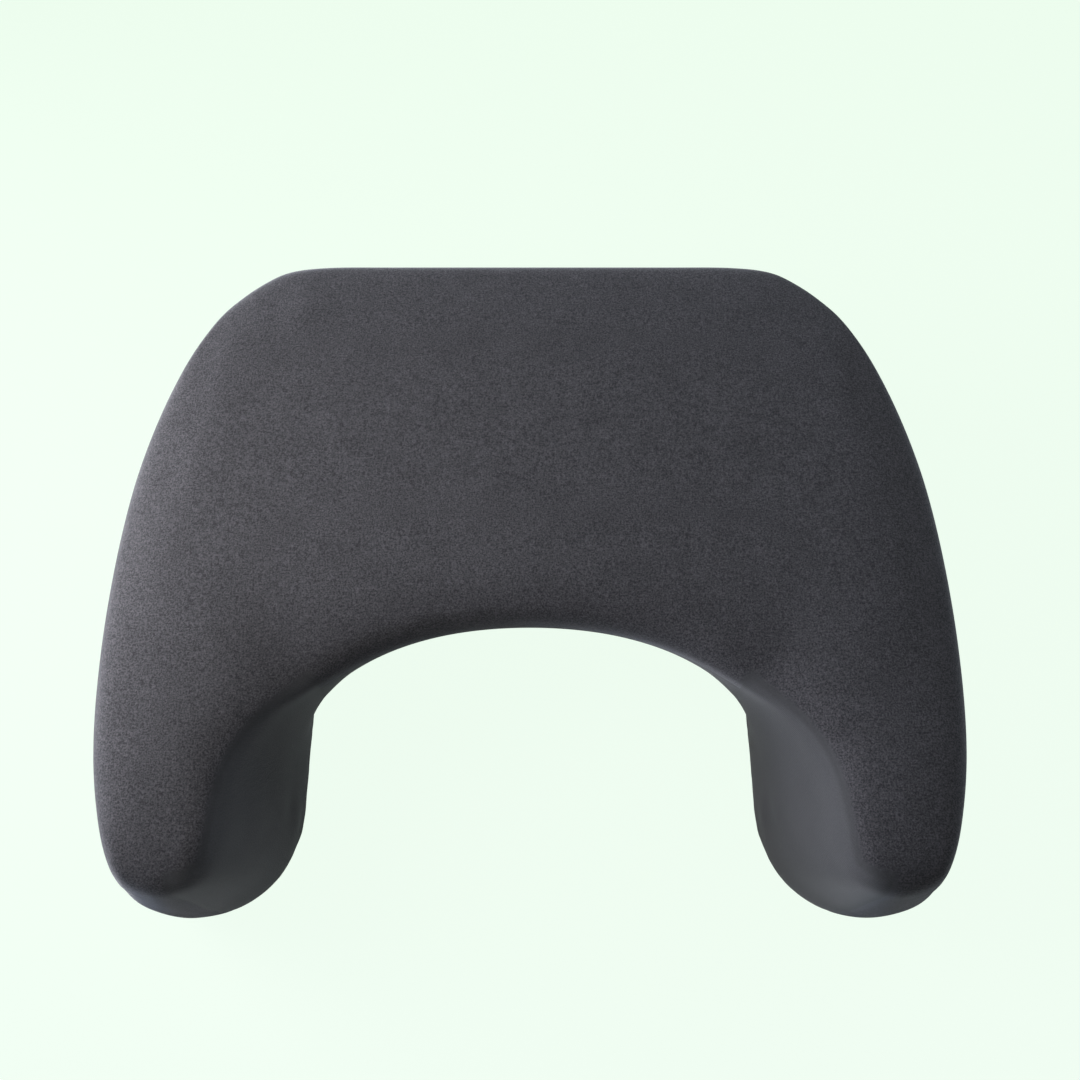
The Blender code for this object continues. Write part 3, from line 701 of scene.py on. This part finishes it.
def make_panel(name, skin, region, side, lips, form):
    """One panel of the cover, cut from the skin and given the cloth's thickness inwards."""
    panel = keep_region(skin, (region,), side)
    if lips:
        way = 1 if region == "top" else -1
        rear = form.depth / 2 - SLOT_SKIN
        tree = tree_of([place for place, _ in lips])
        for vert in panel.verts:
            if not vert.is_boundary or vert.co.y < rear:
                continue
            _, number, away = tree.find(vert.co)
            if away < SAME_POINT:
                vert.co.z = SEAM_Z + way * lips[number][1]
                vert.co.y -= LIP_TUCK
    area = sum(face.calc_area() for face in panel.faces)
    return crisp(walled(new_object(name, panel), "cloth", form.cloth, even=True)), area


def sharpened(name, bm, angle):
    """A new object whose edges are sharp where its faces meet at more than an angle in degrees."""
    made = new_object(name, bm)
    made.data.set_sharp_from_angle(angle=math.radians(angle))
    return made


def crisp(made):
    """The same piece with its modifiers applied and its cut edges sharp."""
    return sharpened(made.name, evaluated_bmesh(made), CLOTH_ANGLE)


def sunk(skin, depth, form):
    """A copy of the skin moved inwards, deeper where the zip's slider runs."""
    layer = skin.copy()
    layer.normal_update()
    for vert in layer.verts:
        groove = 0.0
        if vert.co.y >= form.depth / 2 - GROOVE_SKIN:
            level = 1 - ease(abs(vert.co.z - SEAM_Z) / GROOVE_HALF_HEIGHT)
            groove = GROOVE_DEPTH * level * (1 - ease((abs(vert.co.x) - TAPE_END) / GROOVE_RUNOUT))
        vert.co -= vert.normal * (depth + groove)
    layer.normal_update()
    return layer


# Materials


def grey(value):
    """A colour without a hue."""
    return (value, value, value)


def toned(colour, factor):
    """A colour made darker or lighter."""
    return tuple(factor * value for value in colour)


def tinted(colour, factors):
    """A colour whose red, green and blue are multiplied by factors of their own."""
    return tuple(factor * value for factor, value in zip(factors, colour))


class Graph:
    """A material's nodes, added and joined by name."""

    def __init__(self, name):
        self.material = bpy.data.materials.new(name)
        self.material.use_nodes = True
        self.tree = self.material.node_tree
        self.shader = self.tree.nodes["Principled BSDF"]
        self.place = self.add("ShaderNodeTexCoord").outputs["Object"]

    def add(self, kind, values=None, **settings):
        """A node of a kind, with its own settings and what its sockets are fed."""
        made = self.tree.nodes.new(kind)
        for name, value in settings.items():
            setattr(made, name, value)
        for name, value in (values or {}).items():
            self.feed(value, made.inputs[name])
        return made

    def feed(self, value, socket):
        """Sets a socket to a number or a colour, or joins an output to it."""
        if isinstance(value, (int, float)):
            socket.default_value = value
        elif isinstance(value, tuple):
            socket.default_value = (*value, 1)
        else:
            self.tree.links.new(value, socket)

    def stretched(self, scale):
        """Object coordinates scaled by three factors."""
        mapping = self.add("ShaderNodeMapping", {"Vector": self.place})
        mapping.inputs["Scale"].default_value = scale
        return mapping.outputs["Vector"]

    def noise(self, scale, detail=2.0, rough=0.5, stretch=(1, 1, 1)):
        """Noise on object coordinates."""
        values = {"Scale": scale, "Detail": detail, "Roughness": rough, "Vector": self.stretched(stretch)}
        return self.add("ShaderNodeTexNoise", values).outputs["Fac"]

    def bands(self, direction, scale, distortion):
        """Wavy bands on object coordinates."""
        values = {"Scale": scale, "Distortion": distortion, "Vector": self.place}
        made = self.add("ShaderNodeTexWave", values, wave_type="BANDS", bands_direction=direction)
        return made.outputs["Fac"]

    def cells(self, scale, place):
        """Distance from the middles of scattered cells."""
        values = {"Scale": scale, "Vector": place}
        return self.add("ShaderNodeTexVoronoi", values, feature="F1").outputs["Distance"]

    def ramp(self, source, low, high, first, last):
        """A colour between two, where a value passes from low to high."""
        made = self.add("ShaderNodeValToRGB", {"Fac": source})
        stops = made.color_ramp.elements
        stops[0].position, stops[1].position = low, high
        stops[0].color, stops[1].color = (*first, 1), (*last, 1)
        return made.outputs["Color"]

    def maths(self, operation, first, second):
        """A sum, product or other result of two values."""
        made = self.add("ShaderNodeMath", operation=operation)
        self.feed(first, made.inputs[0])
        self.feed(second, made.inputs[1])
        return made.outputs["Value"]

    def mix(self, share, first, second, blend="MIX"):
        """Two colours mixed by a share."""
        made = self.add("ShaderNodeMix", data_type="RGBA", blend_type=blend)
        wanted = (("Factor", "VALUE", share), ("A", "RGBA", first), ("B", "RGBA", second))
        for name, kind, value in wanted:
            self.feed(value, next(each for each in made.inputs if (each.name, each.type) == (name, kind)))
        return next(each for each in made.outputs if each.type == "RGBA")

    def bump(self, height, distance, strength=1.0, under=None):
        """A bump from a height, over another where one is given."""
        values = {"Distance": distance, "Strength": strength, "Height": height}
        if under:
            values["Normal"] = under
        return self.add("ShaderNodeBump", values).outputs["Normal"]

    def finish(self, colour, normal, roughness, **fixed):
        """Gives the shader its colour, bump and roughness, and its other fixed values."""
        fixed.update(Base_Color=colour, Normal=normal, Roughness=roughness)
        for name, value in fixed.items():
            self.feed(value, self.shader.inputs[name.replace("_", " ")])
        return self.material


def heather_cloth(name, finish):
    """Brushed melange cloth: dark and light fibres in short flecks over a fine knit."""
    graph = Graph(name)
    fleck = graph.noise(scale=950, detail=3.0, rough=0.65)
    along = graph.noise(scale=1000, rough=0.6, stretch=(1.0, 0.30, 1.0))
    across = graph.noise(scale=1000, rough=0.6, stretch=(0.36, 1.0, 1.0))
    thread = graph.maths("MAXIMUM", along, across)
    cloud = graph.noise(scale=38, detail=3.0, rough=0.55)
    mixed = graph.maths("ADD", graph.maths("MULTIPLY", fleck, 0.62), graph.maths("MULTIPLY", thread, 0.38))
    fibres = graph.ramp(mixed, 0.43, 0.65, finish.heather_dark, finish.heather_light)
    shade = graph.ramp(cloud, 0.3, 0.7, grey(0.90), grey(1.08))
    fading = graph.add("ShaderNodeAttribute", attribute_name="fade").outputs["Fac"]
    # Near the inner seams the flecks blend into plain cloth. That cloth is made a fifth darker than the
    # smooth cloth as painted shade of the crease
    plain = graph.mix(graph.maths("MULTIPLY", fading, 0.85), fibres, toned(finish.smooth_cloth, 0.80))
    colour = graph.mix(1.0, plain, shade, "MULTIPLY")
    nap = graph.bump(mixed, distance=0.0006, strength=0.55)
    rough = graph.ramp(mixed, 0.2, 0.8, grey(0.86), grey(0.98))
    return graph.finish(colour, nap, rough, Sheen_Weight=0.34, Specular_IOR_Level=0.18, **SHEEN)


def smooth_cloth(name, finish):
    """Close stretch knit: fine even ribs and hardly any flecks."""
    graph = Graph(name)
    fine = graph.noise(scale=1100, rough=0.6)
    cloud = graph.noise(scale=24, detail=3.0)
    ribs = graph.bands("DIAGONAL", scale=260, distortion=1.2)
    base = finish.smooth_cloth
    tone = graph.ramp(fine, 0.3, 0.7, toned(base, 0.86), toned(base, 1.12))
    shade = graph.ramp(cloud, 0.3, 0.7, grey(0.95), grey(1.05))
    fading = graph.add("ShaderNodeAttribute", attribute_name="fade").outputs["Fac"]
    # Painted shade: the cloth is a fifth darker along the crease at the inner seams
    crease_shade = graph.ramp(fading, 0.0, 1.0, grey(1), grey(0.80))
    colour = graph.mix(1.0, graph.mix(1.0, tone, shade, "MULTIPLY"), crease_shade, "MULTIPLY")
    under = graph.bump(ribs, distance=0.00012, strength=0.5)
    nap = graph.bump(fine, distance=0.0003, strength=0.4, under=under)
    rough = graph.ramp(fine, 0.2, 0.8, grey(0.68), grey(0.82))
    return graph.finish(colour, nap, rough, Sheen_Weight=0.24, Specular_IOR_Level=0.12, **SHEEN)


def liner_knit(name, finish):
    """Thin pale knit: rows of loops."""
    graph = Graph(name)
    loops = graph.cells(620, graph.stretched((1.0, 1.0, 0.7)))
    tone = graph.ramp(loops, 0.1, 0.7, finish.liner, toned(finish.liner, 0.72))
    return graph.finish(tone, graph.bump(loops, distance=0.0004, strength=0.6), 0.9)


def foam_cells(name, finish):
    """Moulded foam: fine open cells under a thin skin, a little yellowed in places."""
    graph = Graph(name)
    cells = graph.cells(700, graph.place)
    age = graph.noise(scale=14, detail=4.0, rough=0.6)
    tone = graph.ramp(age, 0.3, 0.75, finish.foam, tinted(finish.foam, (0.9, 0.84, 0.72)))
    pores = graph.ramp(cells, 0.05, 0.5, grey(0.7), grey(1))
    colour = graph.mix(1.0, tone, pores, "MULTIPLY")
    return graph.finish(colour, graph.bump(cells, distance=0.0006, strength=0.7), 0.95)


def woven_tape(name, finish):
    """Close woven tape of the zip."""
    graph = Graph(name)
    weft = graph.bands("X", scale=480, distortion=0.6)
    warp = graph.bands("Z", scale=420, distortion=0.6)
    weave = graph.maths("MULTIPLY", weft, warp)
    tone = graph.ramp(weave, 0.1, 0.9, toned(finish.tape, 0.6), toned(finish.tape, 1.7))
    return graph.finish(tone, graph.bump(weave, distance=0.0003, strength=0.8), 0.85, Sheen_Weight=0.15)


def moulded_nylon(name, finish):
    """Satin nylon of the teeth, rubbed a little brighter where the slider runs."""
    graph = Graph(name)
    rub = graph.noise(scale=900, detail=3.0, rough=0.6, stretch=(0.4, 1, 1))
    tone = graph.ramp(rub, 0.35, 0.7, finish.tape, toned(finish.tape, 2.2))
    rough = graph.ramp(rub, 0.3, 0.7, grey(0.34), grey(0.52))
    return graph.finish(tone, graph.bump(rub, distance=0.00008, strength=0.5), rough)


def coated_metal(name, finish):
    """Dark coated metal: fine orange peel, with the coat rubbed thin in places."""
    graph = Graph(name)
    peel = graph.noise(scale=1500)
    wear = graph.noise(scale=420, detail=4.0, rough=0.7)
    tone = graph.ramp(wear, 0.55, 0.75, finish.metal, toned(finish.metal, 2.6))
    rough = graph.ramp(wear, 0.4, 0.7, grey(0.30), grey(0.48))
    return graph.finish(tone, graph.bump(peel, distance=0.00004, strength=0.6), rough, Metallic=0.85)


def dress(piece, material, body="pillow", replaced=()):
    """Gives a finished piece its material, its body and the nodes that it stands for."""
    piece.data.materials.clear()
    piece.data.materials.append(material)
    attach(piece, body)
    if replaced:
        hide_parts(*replaced)
    return piece


# Operators


def finished(name, fresh, finish):
    """The named material, made once."""
    return bpy.data.materials.get(name) or fresh(name, finish)


def stored_skin():
    """The swollen skin that the first operator keeps for the others."""
    mesh = bpy.data.meshes.get("swollen_skin")
    if mesh is None:
        raise RuntimeError("swell the skin first")
    bm = bmesh.new()
    bm.from_mesh(mesh)
    bm.normal_update()
    return bm


class PILLOW_OT_foam(bpy.types.Operator):
    """Swell the pillow's skin and make the foam body under it"""
    bl_idname = "pillow.foam"
    bl_label = "Foam body"

    def execute(self, context):
        form = context.scene.pillow_form
        skin = make_skin(form)
        swell(skin, form)
        kept = bpy.data.meshes.new("swollen_skin")
        kept.use_fake_user = True
        skin.to_mesh(kept)
        foam = sunk(skin, FOAM_DEPTH, form)
        skin.free()
        shade_smooth(foam)
        cells = finished("foam", foam_cells, context.scene.pillow_finish)
        body = dress(new_object("foam_body", foam), cells, replaced=("foam_core",))
        return {"FINISHED"}


class PILLOW_OT_liner(bpy.types.Operator):
    """Cut the three pieces of the knit liner from the swollen skin"""
    bl_idname = "pillow.liner"
    bl_label = "Knit liner"

    def execute(self, context):
        skin = stored_skin()
        layer = sunk(skin, LINER_DEPTH, context.scene.pillow_form)
        knit = finished("liner knit", liner_knit, context.scene.pillow_finish)
        cuts = {
            "liner_top": (("top",), (0.59, 0.45)),
            "liner_outer": (("side", "rear", "foot"), (1.35, 0.23)),
            "liner_inner": (("arm_inner", "tunnel"), (0.45, 0.47)),
        }
        for node, (regions, flat) in cuts.items():
            piece = new_object(f"{node}_knit", keep_region(layer, regions))
            piece = crisp(walled(piece, "knit", LINER_THICKNESS))
            dress(piece, knit, replaced=(node,))
        layer.free()
        skin.free()
        return {"FINISHED"}


class PILLOW_OT_cover(bpy.types.Operator):
    """Cut and sew the nine panels of the cover, with the rear seam open for the zip"""
    bl_idname = "pillow.cover"
    bl_label = "Cover"

    def execute(self, context):
        form = context.scene.pillow_form
        finish = context.scene.pillow_finish
        skin = subdivided("fine", stored_skin(), 1)
        skin.verts.index_update()
        draw_in_seams(skin, form)
        skin.verts.ensure_lookup_table()
        parted = open_for_zip(skin, form)
        lips = [(skin.verts[index].co.copy(), wide) for index, wide in sorted(parted.items())]
        heather = (finished("heather cloth", heather_cloth, finish), "heather_cloth")
        smooth = (finished("smooth cloth", smooth_cloth, finish), "smooth_cloth")
        cuts = [
            ("cover_top", "top", 0, heather, (0.60, 0.45)),
            ("cover_rear", "rear", 0, heather, (0.52, 0.13)),
            ("cover_tunnel", "tunnel", 0, smooth, (0.44, 0.33)),
        ]
        for label, side in (("left", -1), ("right", 1)):
            cuts.append((f"cover_side_{label}", "side", side, heather, (0.44, 0.13)))
            cuts.append((f"cover_arm_inner_{label}", "arm_inner", side, smooth, (0.17, 0.15)))
            cuts.append((f"cover_foot_{label}", "foot", side, smooth, (0.43, 0.11)))
        for node, region, side, (material, slot), flat in cuts:
            at_zip = lips if region in ("top", "rear") else []
            piece, area = make_panel(f"{node}_cloth", skin, region, side, at_zip, form)
            dress(piece, material, replaced=(node,))
        skin.free()
        return {"FINISHED"}


class PILLOW_OT_zip(bpy.types.Operator):
    """Finish the zip: woven tapes, moulded teeth, stops, slider and pull"""
    bl_idname = "pillow.zip"
    bl_label = "Zip"

    def execute(self, context):
        finish = context.scene.pillow_finish
        tape = finished("woven tape", woven_tape, finish)
        nylon = finished("moulded nylon", moulded_nylon, finish)
        metal = finished("coated metal", coated_metal, finish)
        for label in ("upper", "lower"):
            dress(make_tape(label), tape, replaced=(f"zip_tape_{label}",))
            dress(make_teeth(label), nylon, replaced=(f"zip_teeth_{label}",))
            stop = f"zip_top_stop_{label}"
            dress(soft_edged(stop, TOP_STOP_RADIUS), metal, replaced=(stop,))
        for node, radius, body in METAL_PARTS:
            dress(soft_edged(node, radius), metal, body, (node,))
        return {"FINISHED"}


def round_off(bm, edges, radius):
    """Rounds some edges."""
    bmesh.ops.bevel(
        bm, geom=edges, offset=radius, segments=2, profile=0.5, affect="EDGES", material=-1,
        clamp_overlap=True)


def soft_edged(node, radius):
    """A copy of a rigid node with its edges rounded."""
    bm = bmesh.new()
    bm.from_mesh(frame["nodes"][node].data)
    bmesh.ops.remove_doubles(bm, verts=bm.verts, dist=SAME_POINT)
    bmesh.ops.dissolve_limit(bm, angle_limit=math.radians(LEVEL_ANGLE), verts=bm.verts, edges=bm.edges)
    paired = [edge for edge in bm.edges if len(edge.link_faces) == 2]
    round_off(bm, [edge for edge in paired if edge.calc_face_angle() > math.radians(ROUNDED_ANGLE)], radius)
    shade_smooth(bm)
    return sharpened(f"{node}_cast", bm, METAL_ANGLE)


def make_tape(label):
    """A woven tape: a thin strip, softly uneven along its length."""
    low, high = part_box(f"zip_tape_{label}")
    size = high - low
    bm = bmesh.new()
    bmesh.ops.create_grid(bm, x_segments=TAPE_COLUMNS, y_segments=TAPE_ROWS, size=0.5)
    for vert in bm.verts:
        x, z = vert.co.x + 0.5, vert.co.y + 0.5
        wave = noise.noise(Vector((x * WAVES_ALONG, z * WAVES_ACROSS, WAVE_LAYER))) * WAVE_HEIGHT
        vert.co = Vector((low.x + size.x * x, high.y - size.y / 2 + wave, low.z + size.z * z))
    bmesh.ops.recalc_face_normals(bm, faces=bm.faces)
    shade_smooth(bm)
    return walled(new_object(f"zip_tape_{label}_woven", bm), "tape", size.y * TAPE_SHARE, offset=0)


def make_teeth(label):
    """One row of moulded teeth on the bead along the tape's edge."""
    low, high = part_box(f"zip_teeth_{label}")
    side = 1 if label == "upper" else -1
    back, front, tip = side * BEAD_BACK, side * BEAD_FRONT, -side * TOOTH_TIP
    half = (high.y - low.y) / 2
    bm = bmesh.new()
    bead = set(bmesh.ops.create_cube(bm, size=1)["verts"])
    for vert in bead:
        x = low.x if vert.co.x < 0 else high.x
        z = back if vert.co.z < 0 else front
        vert.co = Vector((x, CHAIN_Y + math.copysign(half * BEAD_SHARE, vert.co.y), SEAM_Z + z))
    first = low.x + TOOTH_PITCH * (1.0 if side > 0 else 0.5)
    head = (HEAD_WIDTH_SHARE, 1, tip)
    neck = (NECK_WIDTH_SHARE, NECK_DEPTH_SHARE, front)
    for vert in bmesh.ops.create_cube(bm, size=1)["verts"]:
        width_share, depth_share, z = head if vert.co.z > 0 else neck
        x = first + math.copysign(TOOTH_PITCH * width_share, vert.co.x)
        y = CHAIN_Y + math.copysign(half * depth_share, vert.co.y)
        vert.co = Vector((x, y, SEAM_Z + z))
    round_off(bm, [edge for edge in bm.edges if bead.isdisjoint(edge.verts)], TOOTH_RADIUS)
    tooth = [face for face in bm.faces if bead.isdisjoint(face.verts)]
    for number in range(1, int((high.x - low.x) / TOOTH_PITCH - 1)):
        copy = bmesh.ops.duplicate(bm, geom=tooth)["geom"]
        moved = [item for item in copy if isinstance(item, bmesh.types.BMVert)]
        bmesh.ops.translate(bm, vec=(TOOTH_PITCH * number, 0, 0), verts=moved)
    bmesh.ops.recalc_face_normals(bm, faces=bm.faces)
    shade_smooth(bm)
    return sharpened(f"zip_teeth_{label}_moulded", bm, TOOTH_ANGLE)


class PILLOW_OT_studio(bpy.types.Operator):
    """Lay the pale floor, hang the lamps and set up the camera"""
    bl_idname = "pillow.studio"
    bl_label = "Studio"

    def execute(self, context):
        scene = context.scene
        look = scene.pillow_studio
        bm = bmesh.new()
        bmesh.ops.create_grid(bm, x_segments=1, y_segments=1, size=FLOOR_SIZE)
        bmesh.ops.translate(bm, vec=(0, 0, -FLOOR_DROP), verts=bm.verts)
        floor = new_object("floor", bm)
        floor.data.materials.append(floor_material(look))
        for name, place, size, colour in LAMPS:
            data = bpy.data.lights.new(name, "AREA")
            data.energy = getattr(look, name)
            data.color = colour
            data.size = size
            data.spread = math.radians(LAMP_SPREAD)
            lamp = bpy.data.objects.new(name, data)
            lamp.location = place
            aim = Vector(LAMP_AIM) - Vector(place)
            lamp.rotation_euler = aim.to_track_quat("-Z", "Y").to_euler()
            lamp.visible_camera = False
            scene.collection.objects.link(lamp)
        world = bpy.data.worlds.new("surround")
        world.use_nodes = True
        light_world(world.node_tree, look)
        scene.world = world
        data = bpy.data.cameras.new("camera")
        data.lens = look.lens
        data.shift_x = CAMERA_SHIFT
        data.clip_start = CLIP_START
        camera = bpy.data.objects.new("camera", data)
        camera.location = CAMERA_PLACE
        camera.rotation_euler = (math.radians(CAMERA_TILT), 0, 0)
        scene.collection.objects.link(camera)
        scene.camera = camera
        scene.view_settings.view_transform = "Standard"
        return {"FINISHED"}


def seen_rays(tree):
    """1 for what the camera sees, straight or by way of mirrors and glass."""
    rays = tree.nodes.new("ShaderNodeLightPath").outputs
    share = rays["Is Camera Ray"]
    for name in ("Is Glossy Ray", "Is Transmission Ray"):
        either = tree.nodes.new("ShaderNodeMath")
        either.operation = "MAXIMUM"
        tree.links.new(share, either.inputs[0])
        tree.links.new(rays[name], either.inputs[1])
        share = either.outputs["Value"]
    return share


def join_shaders(tree, output, *sources):
    """Mixes two shaders by a share, given as share, first and second, and shows the result."""
    both = tree.nodes.new("ShaderNodeMixShader")
    for source, socket in zip(sources, both.inputs):
        tree.links.new(source, socket)
    tree.links.new(both.outputs["Shader"], tree.nodes[output].inputs["Surface"])


def light_world(tree, look):
    """Even light from all sides, while the camera and mirrors see the floor's pale colour."""
    around = tree.nodes["Background"]
    around.inputs["Color"].default_value = (*look.surround, 1)
    around.inputs["Strength"].default_value = look.around
    seen = tree.nodes.new("ShaderNodeBackground")
    seen.inputs["Color"].default_value = (*look.floor, 1)
    lights = (around.outputs["Background"], seen.outputs["Background"])
    join_shaders(tree, "World Output", seen_rays(tree), *lights)


def floor_material(look):
    """Pale floor that the camera sees at its own colour, with the pillow's shadow kept."""
    graph = Graph("studio floor")
    parts = graph.add("ShaderNodeSeparateXYZ", {"Vector": graph.place})
    behind = graph.maths("ADD", parts.outputs["Y"], FLOOR_NEAR)
    away = graph.maths("MULTIPLY", behind, FLOOR_FADE)
    tone = graph.ramp(away, 0.0, 1.0, look.floor, tinted(look.floor, FLOOR_FAR_TONE))
    graph.feed(FLOOR_BASE, graph.shader.inputs["Base Color"])
    graph.feed(FLOOR_ROUGHNESS, graph.shader.inputs["Roughness"])
    glow = graph.add("ShaderNodeEmission", {"Color": tone, "Strength": FLOOR_GLOW})
    share = graph.maths("MULTIPLY", seen_rays(graph.tree), GLOW_SHARE)
    lights = (graph.shader.outputs["BSDF"], glow.outputs["Emission"])
    join_shaders(graph.tree, "Material Output", share, *lights)
    return graph.material


STEPS = (PILLOW_OT_foam, PILLOW_OT_liner, PILLOW_OT_cover, PILLOW_OT_zip, PILLOW_OT_studio)
SETTINGS = {"pillow_form": PillowForm, "pillow_finish": PillowFinish, "pillow_studio": StudioLook}


class PILLOW_PT_panel(bpy.types.Panel):
    """Lists the pillow's sizes, colours and building steps"""
    bl_idname = "PILLOW_PT_panel"
    bl_label = "Lap desk pillow"
    bl_space_type = "VIEW_3D"
    bl_region_type = "UI"
    bl_category = "Lap desk pillow"

    def draw(self, context):
        for step in STEPS:
            self.layout.operator(step.bl_idname)
        for setting in SETTINGS:
            group = getattr(context.scene, setting)
            box = self.layout.box()
            for name in group.bl_rna.properties.keys():
                if name not in ("rna_type", "name"):
                    box.prop(group, name)


CLASSES = (*SETTINGS.values(), *STEPS, PILLOW_PT_panel)


def register():
    """Registers the classes and hangs the settings on the scene."""
    for each in CLASSES:
        bpy.utils.register_class(each)
    for setting, group in SETTINGS.items():
        setattr(bpy.types.Scene, setting, PointerProperty(type=group))


def unregister():
    """Takes the settings and classes away again."""
    for setting in SETTINGS:
        delattr(bpy.types.Scene, setting)
    for each in reversed(CLASSES):
        bpy.utils.unregister_class(each)


def main():
    """Builds the pillow and its studio."""
    register()
    for step in STEPS:
        group, name = step.bl_idname.split(".")
        getattr(getattr(bpy.ops, group), name)()


if __name__ == "__main__":
    main()
